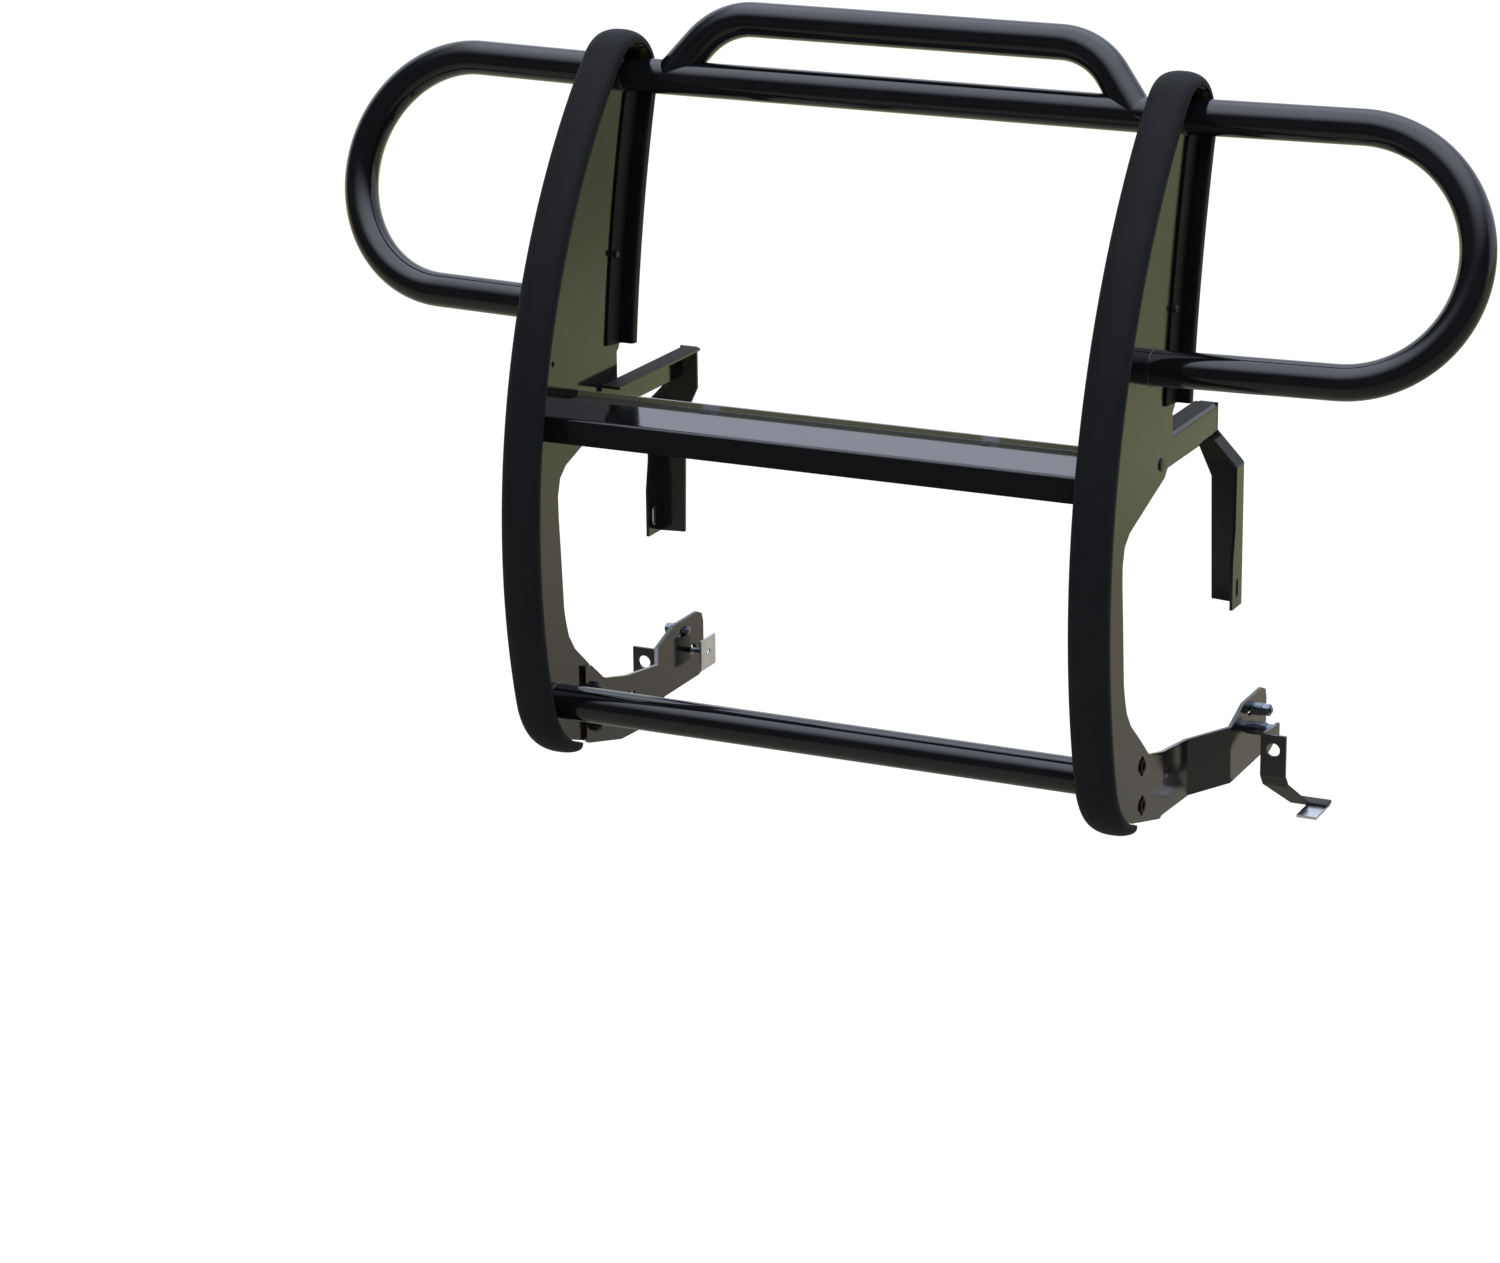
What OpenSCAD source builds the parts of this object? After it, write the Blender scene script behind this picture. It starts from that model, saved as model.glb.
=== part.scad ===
// Front grille guard: two curved plate uprights with rubber faces, joined by tubes.
// Millimetres, +Z up, +Y towards the vehicle. X = 0 is the symmetry plane. The origin is
// midway between the two frame slots of the rear brackets.

/* [Uprights] */
// Distance from the symmetry plane to the middle of each upright plate
upright_x = 379; // [300:1:480]
// How far the front face stands inboard of the plate's middle
face_in = 2; // [0:0.5:8]
// Plate thickness of the uprights
plate_t = 6; // [4:1:10]
// Radius of the long front curve of the uprights
front_r = 820; // [700:5:1000]
// Radius of the rear edge of the uprights
rear_r = 1659; // [1400:1:2000]

/* [Front face] */
// Width of the rubber face
pad_w = 52; // [40:1:70]
// Height of the rubber crown in front of the steel strip's rear face
pad_h = 16; // [10:1:24]
// Width of the steel strip behind the rubber
spine_w = 47; // [36:1:60]
// Thickness of the steel strip
spine_t = 3; // [2:0.5:5]

/* [Rear trim] */
// Overall width of the trim bead behind the plate
trim_w = 43; // [24:1:48]
// Depth of the bead behind the plate edge
trim_d = 19; // [10:1:26]
// Length of the legs on each plate face
trim_leg = 39; // [20:1:50]
// Thickness of each leg
trim_t = 3; // [2:0.5:5]

/* [Tubes] */
// Outside diameter of every tube
tube_d = 44.5; // [38:0.5:51]
// Wall of every tube
tube_wall = 2.5; // [1.5:0.5:4]
// Height of the hoop's bar above the top tube, measured in its own plane
hoop_h = 80.5; // [60:1:110]
// Backward lean of the hoop
hoop_lean = 17.5; // [0:1:35]
// Half length of the hoop's straight bar
hoop_bar = 207; // [150:1:240]
// Centreline bend radius of the hoop
hoop_r = 90; // [70:1:120]
// Centreline bend radius of the side loops
loop_r = 152.5; // [120:0.5:160]
// Where the side loops start to bend
loop_x = 600; // [500:1:700]
// Rearward sweep of the side loops, in degrees
loop_sweep = 4.8; // [0:0.2:10]

/* [Light crossbar] */
// Depth of the crossbar's top face
bar_depth = 112; // [90:1:130]
// Height of its front flange
bar_drop = 33; // [20:1:40]
// Sheet thickness
bar_t = 4; // [3:0.5:6]
// Spacing of the two lamp holes
lamp_spacing = 377; // [300:1:440]
// Diameter of the lamp holes
lamp_hole_d = 10.5; // [8:0.5:13]

/* [Brackets] */
// Steel thickness of the frame brackets
frame_t = 5; // [4:0.5:8]
// Length of the frame slots
slot_len = 26; // [18:1:34]
// Width of the frame slots
slot_w = 13; // [11:0.5:16]
// Thickness of the angle arms and drop brackets
arm_t = 4; // [3:0.5:6]

/* [Hidden] */

black = [0.07, 0.07, 0.08];
satin = [0.12, 0.12, 0.13];
rub = [0.09, 0.09, 0.10];
zinc = [0.70, 0.72, 0.74];

px0 = upright_x - plate_t / 2;
px1 = upright_x + plate_t / 2;
tube_r = tube_d / 2;
// centres (y, z) of the curves that shape an upright
front_c = [329, 252];
curl_r = 51;
curl_c = [front_c[0] - (front_r - curl_r) * cos(45), front_c[1] + (front_r - curl_r) * sin(45)];
toe_r = 100;
toe_a = -14.5;
toe_c = [front_c[0] - (front_r - toe_r) * cos(toe_a), front_c[1] + (front_r - toe_r) * sin(toe_a)];
rear_c = [1423, 286];
top_c = [-193, 802.5];
low_c = [-413, 34.2];
bar_y0 = -450;
bar_z = 417;
lamp_y = bar_y0 + bar_depth - 20;
arm_y0 = -285;
drop_y = -56;
arm_hole = [-271, 392];
trim_hole = [-241, 579];
plate_slot = [[-323, 24], [-322, -27]];
stud = [[7, 0], [24, -33]];
plate_x = 384.5;
face_x = 410.5;

module right(s) {
  if (s < 0) mirror([1, 0, 0]) children();
  else children();
}
// a flat outline of (y, z) points, t thick, its inboard face at x
module slab(x, t, pts) {
  translate([x, 0, 0]) rotate([90, 0, 90]) linear_extrude(t) polygon(pts);
}
// a cylinder along X
module rod(c, r, x, t, fn = 96) {
  translate([x, c[0], c[1]]) rotate([0, 90, 0]) cylinder(r = r, h = t, $fn = fn);
}
// a profile swept about a centre line along X; angles are above the -Y direction
module sweep(c, a0, a1) {
  translate([0, c[0], c[1]]) rotate([0, 90, 0])
    rotate_extrude(angle = a1 - a0, start = -(90 + a1), $fn = 128) children();
}
// a slot through x .. x+t, upright or lying along Y
module slot_x(c, len, w, x, t, up = true) {
  d = (len - w) / 2;
  rod([c[0] - (up ? 0 : d), c[1] - (up ? d : 0)], w / 2, x, t, 32);
  rod([c[0] + (up ? 0 : d), c[1] + (up ? d : 0)], w / 2, x, t, 32);
  translate([x, c[0] - (up ? w / 2 : d), c[1] - (up ? d : w / 2)])
    cube([t, up ? w : 2 * d, up ? 2 * d : w]);
}

module plate_right() {
  x = px0;
  difference() {
    union() {
      // body between the two tangent points
      difference() {
        intersection() {
          slab(x, plate_t, [[-560, 47], [-465, 46.5], [-400, 60], [-363, 88], [-378, 109], [-384, 127], [-389, 147], [-394, 221], [-398, 273],
            [-398.5, 299], [-392, 321], [-376, 334], [-318, 353], [-259, 372], [-244, 386],
            [-234, 387], [-234, 449], [-230, 452], [-225, 458], [-150, 458], [-150, 796],
            [-164, 796], [-251, 832], [-560, 832]]);
          rod(front_c, front_r, x, plate_t, 256);
        }
        rod(rear_c, rear_r, x - 1, plate_t + 2, 256);
      }
      rod(curl_c, curl_r, x, plate_t, 128);
      // toe and the tongue behind it
      intersection() {
        slab(x, plate_t, [[-480, 70], [-400, 88], [-363, 88], [-330, 60], [-297, 30],
          [-253, 15], [-248, 7], [-248, -63], [-258, -66], [-332, -46], [-394, -24.5],
          [-400, -60], [-480, -60]]);
        union() {
          rod(toe_c, toe_r, x, plate_t, 128);
          translate([x, -394, -80]) cube([plate_t, 160, 180]);
        }
      }
    }
    rod(arm_hole, 6.5, x - 1, plate_t + 2, 32);
    rod(trim_hole, 2.8, x - 1, plate_t + 2, 24);
    rod([-405, 471], 4, x - 1, plate_t + 2, 24);
    for (c = plate_slot) slot_x(c, 26, 11, x - 1, plate_t + 2);
  }
}
module upright_plate_left() { color(black) right(-1) plate_right(); }
module upright_plate_right() { color(black) plate_right(); }

module spine_right() {
  translate([upright_x - face_in, 0, 0]) {
    sweep(front_c, toe_a - 0.02, 45.02) translate([front_r, -spine_w / 2]) square([spine_t, spine_w]);
    sweep(curl_c, 45, 155) translate([curl_r, -spine_w / 2]) square([spine_t, spine_w]);
    sweep(toe_c, -75, toe_a) translate([toe_r, -spine_w / 2]) square([spine_t, spine_w]);
  }
}
module front_spine_left() { color(black) right(-1) spine_right(); }
module front_spine_right() { color(black) spine_right(); }

// D-shaped rubber section, recessed for the steel strip
module pad_profile(r) {
  w = pad_w / 2;
  s = spine_w / 2 + 0.3;
  d = spine_t + 0.3;
  translate([r, 0]) polygon([[d, -s], [0.6, -s], [0.6, -w], [4, -w], [7.5, -w + 1.6],
    [11, -w + 5], [14, -w + 10.5], [pad_h - 0.5, -w + 17], [pad_h, -w + 23],
    [pad_h, w - 23], [pad_h - 0.5, w - 17], [14, w - 10.5], [11, w - 5],
    [7.5, w - 1.6], [4, w], [0.6, w], [0.6, s], [d, s]]);
}
module pad_right() {
  translate([upright_x - face_in, 0, 0]) {
    sweep(front_c, toe_a - 0.02, 45.02) pad_profile(front_r);
    sweep(curl_c, 45, 160) pad_profile(curl_r);
    sweep(toe_c, -78, toe_a) pad_profile(toe_r);
  }
}
module front_pad_left() { color(rub) right(-1) pad_right(); }
module front_pad_right() { color(rub) pad_right(); }

module trim_right() {
  r0 = rear_r - 0.3;
  w = trim_w / 2;
  difference() {
    translate([upright_x, 0, 0]) {
      // the bead reaches a little higher than the legs, behind the tubes
      sweep(rear_c, 6, 17.6) translate([r0, 0])
        polygon([[0, w - 3], [-3, w], [-9, w], [-14, w - 4], [-trim_d, w - 11],
          [-trim_d, -w + 11], [-14, -w + 4], [-9, -w], [-3, -w], [0, -w + 3]]);
      for (s = [-1, 1]) sweep(rear_c, 6, 16.9) translate([r0, 0])
        polygon([[trim_leg, s * (plate_t / 2 + trim_t)], [trim_leg, s * plate_t / 2],
          [-1, s * plate_t / 2], [-1, s * (plate_t / 2 + trim_t + 1.5)],
          [3, s * (plate_t / 2 + trim_t + 1.5)]]);
    }
    rod(trim_hole, 2.8, px0 - 20, plate_t + 40, 24);
  }
}
module rear_trim_left() { color(rub) right(-1) trim_right(); }
module rear_trim_right() { color(rub) trim_right(); }

module trim_screws() {
  color(satin) for (s = [-1, 1]) right(s) {
    rod(trim_hole, 2.5, px0 - trim_t - 5, plate_t + 2 * trim_t + 5, 24);
    rod(trim_hole, 5, px1 + trim_t + 1.1, 3, 32);
    rod(trim_hole, 2.5, px1 + trim_t - 1, 3, 24);
  }
}
module trim_nuts() {
  color(satin) for (s = [-1, 1]) right(s) difference() {
    rod(trim_hole, 4.6, px0 - trim_t - 5.1, 4, 6);
    rod(trim_hole, 2.6, px0 - trim_t - 6, 6, 24);
  }
}

module top_cross_tube() {
  color(black) difference() {
    rod(top_c, tube_r, -px0, 2 * px0);
    rod(top_c, tube_r - tube_wall, -px0 - 1, 2 * px0 + 2);
  }
}
module lower_cross_tube() {
  color(black) difference() {
    rod(low_c, tube_r, -px0, 2 * px0);
    rod(low_c, tube_r - tube_wall, -px0 - 1, 2 * px0 + 2);
  }
}

// bent tube in the hoop's plane: X along the bar, Z up
module hoop_tube() {
  a = 51.5;
  ex = hoop_bar + hoop_r * sin(a);
  ez = hoop_h - hoop_r + hoop_r * cos(a);
  translate([-hoop_bar, 0, hoop_h]) rotate([0, 90, 0]) linear_extrude(2 * hoop_bar) ring();
  for (s = [-1, 1]) {
    translate([s * hoop_bar, 0, hoop_h - hoop_r]) rotate([90, 0, 0])
      rotate_extrude(angle = a, start = s > 0 ? 90 - a : 90, $fn = 96) translate([hoop_r, 0]) ring();
    translate([s * ex, 0, ez]) rotate([0, s * (90 + a), 0]) linear_extrude(80) ring();
  }
}
module ring() {
  difference() {
    circle(r = tube_r, $fn = 96);
    circle(r = tube_r - tube_wall, $fn = 96);
  }
}
module top_hoop() {
  color(black) difference() {
    translate([0, top_c[0], top_c[1]]) rotate([-hoop_lean, 0, 0]) hoop_tube();
    rod(top_c, tube_r + 0.05, -px0, 2 * px0);
    translate([-500, top_c[0] - 100, top_c[1] - 130]) cube([1000, 200, 130]);
  }
}

// bent tube of a side loop: p along X, q up, both in the loop's own plane
module loop_solid(r) {
  translate([-40, 0, loop_r]) rotate([0, 90, 0]) cylinder(r = r, h = loop_x - px1 + 40, $fn = 96);
  translate([-40, 0, -loop_r]) rotate([0, 90, 0]) cylinder(r = r, h = loop_x - px1 + 40, $fn = 96);
  translate([loop_x - px1, 0, 0]) rotate([90, 0, 0])
    rotate_extrude(angle = 180, start = -90, $fn = 128) translate([loop_r, 0]) circle(r = r, $fn = 96);
}
module loop_right() {
  difference() {
    translate([px1, -250, 663]) rotate([0, 0, loop_sweep]) rotate([-20.9, 0, 0])
      difference() {
        loop_solid(tube_r);
        loop_solid(tube_r - tube_wall);
      }
    translate([px1 - 100, -500, 400]) cube([100, 500, 500]);
  }
}
module side_loop_left() { color(black) right(-1) loop_right(); }
module side_loop_right() { color(black) loop_right(); }

module light_crossbar() {
  y1 = bar_y0 + bar_depth;
  color(black) difference() {
    translate([-px0, 0, 0]) rotate([90, 0, 90]) linear_extrude(2 * px0)
      polygon([[bar_y0, bar_z - bar_drop], [bar_y0 + bar_t, bar_z - bar_drop],
        [bar_y0 + bar_t, bar_z - bar_t], [y1, bar_z - bar_t], [y1, bar_z + 6.5],
        [y1 - bar_t, bar_z + 6.5], [y1 - bar_t, bar_z], [bar_y0 + 1.5, bar_z],
        [bar_y0, bar_z - 1.5]]);
    for (s = [-1, 1]) translate([s * lamp_spacing / 2, lamp_y, bar_z - 20])
      cylinder(d = lamp_hole_d, h = 40, $fn = 32);
  }
}

module arm_right() {
  difference() {
    union() {
      translate([px0 - arm_t, arm_y0, bar_z - 40]) cube([arm_t, drop_y - arm_y0, 40]);
      translate([px0 - 30, arm_y0, bar_z - arm_t]) cube([30, drop_y - arm_y0, arm_t]);
    }
    rod(arm_hole, 6.5, px0 - 10, 20, 32);
  }
}
module support_arm_left() { color(black) right(-1) arm_right(); }
module support_arm_right() { color(black) arm_right(); }

module arm_bolts() {
  // low round heads on the outer face
  color(satin) for (s = [-1, 1]) right(s) {
    rod(arm_hole, 6, px0 - arm_t - 14, plate_t + arm_t + 15, 32);
    rod(arm_hole, 8.4, px1, 2, 48);
  }
}
module arm_nuts() {
  color(satin) for (s = [-1, 1]) right(s) difference() {
    rod(arm_hole, 10.4, px0 - arm_t - 10, 10, 6);
    rod(arm_hole, 6.1, px0 - arm_t - 11, 12, 32);
  }
}

module drop_right() {
  difference() {
    union() {
      translate([0, drop_y + arm_t, 0]) rotate([90, 0, 0]) linear_extrude(arm_t)
        polygon([[352, 417], [376, 417], [376, 382], [413, 343], [413, 159], [373, 161],
          [370, 322], [352, 361]]);
      slab(413 - arm_t, arm_t, [[-52, 159], [-90, 159], [-90, 222], [-83, 262], [-81, 343], [-52, 343]]);
      // the flange follows the slope at the top
      translate([0, drop_y + arm_t, 0]) rotate([90, 0, 0]) linear_extrude(29)
        polygon([[413, 343], [382, 375.7], [379, 373], [413 - arm_t, 341.3]]);
    }
    slot_x([-74, 184], 26, 8.5, 400, 20);
  }
}
module drop_bracket_left() { color(satin) right(-1) drop_right(); }
module drop_bracket_right() { color(satin) drop_right(); }

module frame_right() {
  x = px0 - frame_t;
  difference() {
    union() {
      slab(x, frame_t, [[-345, -40], [-345, 59], [-329, 56], [-294, 28], [-231, 12.5],
        [-143, 0.5], [-143, -75.5], [-251, -69], [-339, -46]]);
      // joggle that carries the bracket outboard
      translate([0, 0, -74.5]) linear_extrude(75)
        polygon([[x, -144], [px0, -144], [face_x, -78], [face_x, -77], [face_x - frame_t, -77]]);
      slab(face_x - frame_t, frame_t, [[-78, -74.5], [-78, -0.5], [-28, 17], [42, 17],
        [56, 11], [60, -2], [60, -69], [45, -74.5]]);
    }
    for (c = plate_slot) rod(c, 5.6, x - 1, frame_t + 2, 32);
    rod([-216, -20], 7, x - 1, frame_t + 2, 32);
    slot_x([0, 0], slot_len, slot_w, face_x - 10, 20, false);
    rod([28, -33], 8, face_x - 10, 20, 32);
  }
}
module frame_bracket_left() { color(black) right(-1) frame_right(); }
module frame_bracket_right() { color(black) frame_right(); }

module plate_bolts() {
  color(satin) for (s = [-1, 1]) right(s) for (c = plate_slot) {
    rod(c, 5, px0 - frame_t - 11, plate_t + frame_t + 11, 32);
    rod(c, 8.5, px0 - frame_t - 7, 7, 6);
  }
}
module plate_nuts() {
  color(satin) for (s = [-1, 1]) right(s) for (c = plate_slot) difference() {
    rod(c, 8.8, px1, 2, 32);
    rod(c, 5.1, px1 - 1, 9, 32);
  }
}

// square zinc plate on the inboard end of the lower stud, with a square hole set cornerwise
module square_plate() {
  difference() {
    slab(plate_x, 3, [[11.5, -57.5], [54.5, -57.5], [54.5, -14.5], [11.5, -14.5]]);
    slab(plate_x - 1, 5, [[29, -36], [34.5, -41.5], [40, -36], [34.5, -30.5]]);
  }
}
module bolt_plate_left() { color(zinc) right(-1) square_plate(); }
module bolt_plate_right() { color(zinc) square_plate(); }

module frame_studs() {
  color(zinc) for (s = [-1, 1]) right(s) {
    rod(stud[0], 4, face_x - frame_t - 6, frame_t + 32, 32);
    rod(stud[0], 6.5, face_x - frame_t - 5, 5, 6);
    rod(stud[1], 4, plate_x + 3, 438 - plate_x - 3, 32);
  }
}
module frame_nuts() {
  color(zinc) for (s = [-1, 1]) right(s) for (c = stud) difference() {
    rod(c, 8.2, face_x + 13.5, 10, 6);
    rod(c, 4.1, face_x + 12, 14, 32);
  }
}
module stud_spacers() {
  color(zinc) for (s = [-1, 1]) right(s) for (c = stud) difference() {
    rod(c, 8.6, face_x, 13.5, 48);
    rod(c, 4.2, face_x - 1, 16, 32);
  }
}

// stepped strap hung on the lower stud, with a big hole in its upright face
module strap_r() {
  x = 434;
  difference() {
    union() {
      slab(x, 4, [[-30, -20], [-22, -20], [16, -24], [32, -24], [34, -26], [34, -42],
        [16, -44], [-22, -56], [-30, -56]]);
      translate([x, -30, -76]) cube([34, 4, 56]);
      // a short steep fold, then the long slope
      slab(x, 34, [[-30, -76], [-26, -74.7], [-15.3, -89], [72, -142], [92, -142], [92, -146],
        [71, -146], [-18, -92]]);
      translate([x + 30, 71, -146]) cube([28, 21, 4]);
    }
    // the inboard edge tapers towards the foot
    translate([x, 0, -150]) linear_extrude(62)
      polygon([[-1, -18], [0, -18], [9, 71], [9, 93], [-1, 93]]);
    rod(stud[1], 4, x - 1, 6, 32);
    translate([x + 17, -20, -40]) rotate([90, 0, 0]) cylinder(r = 9, h = 20, $fn = 48);
  }
}
module strap_left() { color(satin) right(-1) strap_r(); }
module strap_right() { color(satin) strap_r(); }
// zinc plate under the strap's foot
module foot_plates() {
  color(zinc) for (s = [-1, 1]) right(s) translate([464, 32, -150]) cube([27, 59, 4]);
}

upright_plate_left();
upright_plate_right();
front_spine_left();
front_spine_right();
front_pad_left();
front_pad_right();
rear_trim_left();
rear_trim_right();
trim_screws();
trim_nuts();
top_cross_tube();
top_hoop();
side_loop_left();
side_loop_right();
light_crossbar();
lower_cross_tube();
support_arm_left();
support_arm_right();
arm_bolts();
arm_nuts();
drop_bracket_left();
drop_bracket_right();
frame_bracket_left();
frame_bracket_right();
plate_bolts();
plate_nuts();
bolt_plate_left();
bolt_plate_right();
frame_studs();
frame_nuts();
stud_spacers();
strap_left();
strap_right();
foot_plates();
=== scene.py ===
import math
import bpy
import bmesh
from mathutils import Matrix, Vector


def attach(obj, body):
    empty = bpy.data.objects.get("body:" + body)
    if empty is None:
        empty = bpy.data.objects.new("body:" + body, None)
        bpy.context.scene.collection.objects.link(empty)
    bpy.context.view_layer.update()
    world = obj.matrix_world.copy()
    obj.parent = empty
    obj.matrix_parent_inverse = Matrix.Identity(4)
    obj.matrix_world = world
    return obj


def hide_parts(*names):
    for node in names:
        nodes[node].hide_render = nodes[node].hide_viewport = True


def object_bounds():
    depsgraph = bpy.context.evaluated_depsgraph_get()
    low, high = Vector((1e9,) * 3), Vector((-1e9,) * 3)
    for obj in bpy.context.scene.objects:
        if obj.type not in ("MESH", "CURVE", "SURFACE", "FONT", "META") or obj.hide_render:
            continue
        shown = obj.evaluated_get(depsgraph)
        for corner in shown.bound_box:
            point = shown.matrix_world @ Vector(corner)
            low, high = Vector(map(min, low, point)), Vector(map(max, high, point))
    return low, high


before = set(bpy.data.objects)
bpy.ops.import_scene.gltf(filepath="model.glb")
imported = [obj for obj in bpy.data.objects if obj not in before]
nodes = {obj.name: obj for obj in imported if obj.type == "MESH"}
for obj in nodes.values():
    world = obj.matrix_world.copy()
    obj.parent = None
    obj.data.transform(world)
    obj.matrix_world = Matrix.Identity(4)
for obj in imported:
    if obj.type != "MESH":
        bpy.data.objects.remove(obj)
cad_low, cad_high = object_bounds()
scene = bpy.context.scene

# --- Studio ------------------------------------------------------------------------------
# A pale floor just under the lowest strap and an even white surround. Gloss black steel
# shows only what it mirrors, so a dull ground card lies under the guard for reflections
# alone. The camera stands in front, to the right and a little above.
scene.view_settings.view_transform = "Standard"


class Socket:
    """One output of a shader node, with the arithmetic that the finishes use."""

    def __init__(self, finish, out):
        self.finish = finish
        self.out = out

    def math(self, operation, first, second):
        return self.finish.node("ShaderNodeMath", {"operation": operation}, {0: first, 1: second})

    def __add__(self, other):
        return self.math("ADD", self, other)

    __radd__ = __add__

    def __sub__(self, other):
        return self.math("SUBTRACT", self, other)

    def __rsub__(self, other):
        return self.math("SUBTRACT", other, self)

    def __mul__(self, other):
        return self.math("MULTIPLY", self, other)

    __rmul__ = __mul__

    def highest(self, other):
        return self.math("MAXIMUM", self, other)

    def step(self, low, high):
        """0 below low, 1 above high and smooth between."""
        return self.finish.node("ShaderNodeMapRange", {"interpolation_type": "SMOOTHSTEP"},
                                {"Value": self, "From Min": low, "From Max": high}, "Result")


class Finish:
    """A node material around one Principled shader, or a world around one Background."""

    def __init__(self, holder, shader="Principled BSDF", **constants):
        holder.use_nodes = True
        self.holder = holder
        self.tree = holder.node_tree
        self.shader = self.tree.nodes[shader]
        for key, value in constants.items():
            self.shader.inputs[key.replace("_", " ")].default_value = value

    def feed(self, place, value):
        if isinstance(value, Socket):
            self.tree.links.new(value.out, place)
        elif isinstance(value, tuple) and place.type == "RGBA":
            place.default_value = (*value, 1)
        else:
            place.default_value = value

    def node(self, kind, settings=None, values=None, out=0):
        """Any node: its type, its settings, its sockets' values or links, and its output."""
        made = self.tree.nodes.new(kind)
        for key, value in (settings or {}).items():
            if key != "stops":
                setattr(made, key, value)
                continue
            ramp = made.color_ramp
            while len(ramp.elements) < len(value):
                ramp.elements.new(0.5)
            for stop, (position, colour) in zip(ramp.elements, value):
                stop.position = position
                stop.color = (*colour, 1)
        for key, value in (values or {}).items():
            self.feed(made.inputs[key], value)
        return Socket(self, made.outputs[out])

    def place(self):
        return self.node("ShaderNodeTexCoord", out="Object")

    def along(self, where, axis):
        return self.node("ShaderNodeSeparateXYZ", None, {0: where}, axis)

    def noise(self, where, scale, detail=3.0, roughness=0.5):
        return self.node("ShaderNodeTexNoise", None, {"Vector": where, "Scale": scale,
                                                      "Detail": detail, "Roughness": roughness})

    def ramp(self, value, *stops):
        return self.node("ShaderNodeValToRGB", {"stops": stops}, {0: value})

    def blend(self, factor, first, second):
        return self.node("ShaderNodeMix", {"data_type": "RGBA"},
                         {0: factor, 6: first, 7: second}, 2)

    def bump(self, height, strength, distance):
        self.set("Normal", self.node("ShaderNodeBump", None, {
            "Height": height, "Strength": strength, "Distance": distance}))

    def set(self, name, value):
        self.feed(self.shader.inputs[name], value)

    def seen(self, *rays):
        """1 for the kinds of ray that are named, 0 for all others."""
        total = self.node("ShaderNodeLightPath", out=rays[0])
        for ray in rays[1:]:
            total = total.highest(self.node("ShaderNodeLightPath", out=ray))
        return total

    def glow(self, share, colour, strength=1.0):
        """Mix a glow of its own into the finish, by the share given."""
        light = self.node("ShaderNodeEmission", None, {0: colour, 1: strength})
        own = Socket(self, self.shader.outputs[0])
        mixed = self.node("ShaderNodeMixShader", None, {0: share, 1: own, 2: light})
        self.feed(self.tree.nodes["Material Output"].inputs[0], mixed)


def plain(size, spot, name):
    """A flat square sheet of stage at a spot."""
    bpy.ops.object.select_all(action="DESELECT")
    bpy.ops.mesh.primitive_plane_add(size=size, location=spot)
    sheet = bpy.context.object
    sheet.name = name
    return sheet


stage_wide = 60
floor_z = cad_low.z - 0.004
white = (1.0, 1.0, 1.0)
floor = plain(stage_wide, (0, 0, floor_z), "studio_floor")
pale = Finish(bpy.data.materials.new("pale_floor"), Roughness=0.9)
pale.set("Base Color", pale.ramp(pale.noise(pale.place(), 0.8),
                                 (0.3, (0.86, 0.86, 0.86)), (0.7, (0.9, 0.9, 0.9))))
seen_share = pale.seen("Is Camera Ray", "Is Glossy Ray", "Is Transmission Ray") * 0.92
pale.glow(seen_share, white, 1.12)
floor.data.materials.append(pale.holder)

# only reflections see the card: olive far behind the guard, warm grey under and before it
card_y = 4
tone_start, tone_long = 6, 4
card = plain(stage_wide, (0, card_y, floor_z + 0.002), "ground_card")
card.visible_camera = card.visible_diffuse = card.visible_shadow = False
dull = Finish(bpy.data.materials.new("dull_ground"), Roughness=1.0)
depth = dull.along(dull.place(), "Y")
away = (depth + tone_start) * (1 / tone_long)
tone = dull.ramp(away, (0.02, (0.04, 0.04, 0.04)), (0.150, (0.19, 0.19, 0.17)),
                 (0.275, (0.25, 0.25, 0.22)), (0.425, (0.29, 0.28, 0.24)),
                 (0.537, (0.43, 0.40, 0.34)), (0.675, (0.53, 0.485, 0.37)),
                 (0.825, (0.60, 0.63, 0.37)))
side = dull.along(dull.place(), "X")
far = depth.step(-2.8, -2.0)
near_light = 1.35 - side.step(0.3, 0.9) * 0.4
far_light = far * (0.35 - side.step(0.8, 1.5) * 0.5)
dull.glow(1.0, tone, near_light + far_light)
card.data.materials.append(dull.holder)

world = bpy.data.worlds.new("white_surround")
scene.world = world
air = Finish(world, "Background")
way = air.node("ShaderNodeTexCoord", out="Generated")
behind = air.along(way, "Y").step(-0.15, 0.3)
above = air.along(way, "Z").step(0.4, 0.93) * air.along(way, "X").step(-0.85, -0.5)
mirrored = behind.highest(above * 2.6) * 1.06 + 0.05
soft_light = 0.7
camera_ray = air.seen("Is Camera Ray", "Is Transmission Ray")
glossy_ray = air.seen("Is Glossy Ray")
other_light = glossy_ray * (mirrored - soft_light) + soft_light
air.set("Color", air.blend(camera_ray, (0.86, 0.93, 1.08), white))
air.set("Strength", camera_ray + (1 - camera_ray) * other_light)

guard_middle = Vector((0, -0.2, 0.4))
for name, spot, size, power in (("key_lamp", (1.6, -2.6, 3.4), 2.4, 62),
                                ("fill_lamp", (-3.2, -2.4, 1.6), 2.0, 28),
                                ("back_lamp", (0.5, 3.0, 2.6), 2.0, 28)):
    light = bpy.data.lights.new(name, "AREA")
    light.size = size
    light.energy = power
    lamp = bpy.data.objects.new(name, light)
    scene.collection.objects.link(lamp)
    lamp.visible_glossy = False
    lamp.location = spot
    lamp.rotation_euler = (guard_middle - Vector(spot)).to_track_quat("-Z", "Y").to_euler()

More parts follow.
